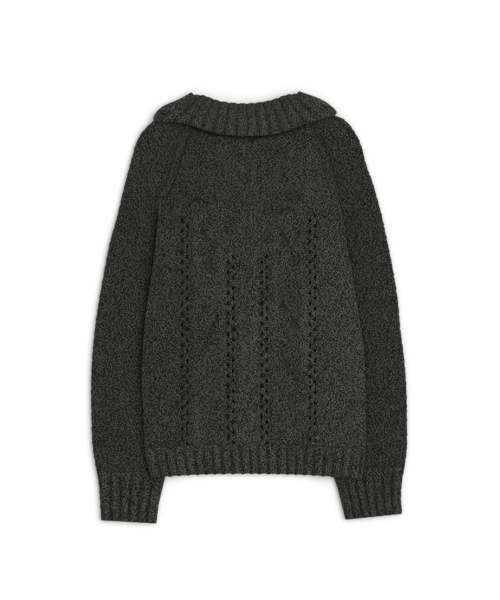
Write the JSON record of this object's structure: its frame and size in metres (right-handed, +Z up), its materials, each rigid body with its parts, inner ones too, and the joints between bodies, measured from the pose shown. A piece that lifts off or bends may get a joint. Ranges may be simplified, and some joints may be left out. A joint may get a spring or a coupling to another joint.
{
  "type": "zip-up cardigan",
  "caption": "Chunky wool cardigan with raglan sleeves, a folded rib collar, cable and eyelet panels and a front zip, lying flat with its back up.",
  "frame": {"origin": "on the surface the garment lies on, under the centre of its bounding box", "axes": "+Z up, out of the surface and of the garment's back; +Y from the hem to the collar; +X towards the wearer's right"},
  "size_m": [0.586, 0.8002, 0.0198],
  "materials": {
    "back": "marled charcoal wool, cables and eyelets on stocking stitch, matt and slightly hairy",
    "back_hem_rib": "marled charcoal wool, two-by-two rib, matt and slightly hairy",
    "front_left": "marled charcoal wool, stocking stitch, matt and slightly hairy",
    "front_right": "marled charcoal wool, stocking stitch, matt and slightly hairy",
    "front_hem_rib_left": "marled charcoal wool, two-by-two rib, matt and slightly hairy",
    "front_hem_rib_right": "marled charcoal wool, two-by-two rib, matt and slightly hairy",
    "sleeve_left": "marled charcoal wool, stocking stitch, matt and slightly hairy",
    "sleeve_right": "marled charcoal wool, stocking stitch, matt and slightly hairy",
    "cuff_left": "marled charcoal wool, two-by-two rib, matt and slightly hairy",
    "cuff_right": "marled charcoal wool, two-by-two rib, matt and slightly hairy",
    "collar": "marled charcoal wool, wide rib, matt and slightly hairy",
    "zip_tape_left": "dark woven tape",
    "zip_tape_right": "dark woven tape",
    "zip_chain": "dark nickel, satin",
    "zip_box": "dark nickel, satin",
    "zip_slider": "dark nickel, satin",
    "zip_pull": "dark nickel, satin"
  },
  "bodies": {
    "garment": {"back": "back", "back_hem_rib": "back_hem_rib", "front_left": "front_left", "front_right": "front_right", "front_hem_rib_left": "front_hem_rib_left", "front_hem_rib_right": "front_hem_rib_right", "sleeve_left": "sleeve_left", "sleeve_right": "sleeve_right", "cuff_left": "cuff_left", "cuff_right": "cuff_right", "collar": "collar", "zip_tape_left": "zip_tape_left", "zip_tape_right": "zip_tape_right", "zip_chain": "zip_chain", "zip_box": "zip_box", "zip_slider": "zip_slider"},
    "pull": {"zip_pull": "zip_pull"}
  },
  "joints": [
    {"name": "pull_swing", "type": "hinge", "parent": "garment", "child": "pull", "pos_m": [-0.001, 0.2648, 0.00395], "axis": [1, 0, 0], "range_deg": [0, 165]}
  ]
}
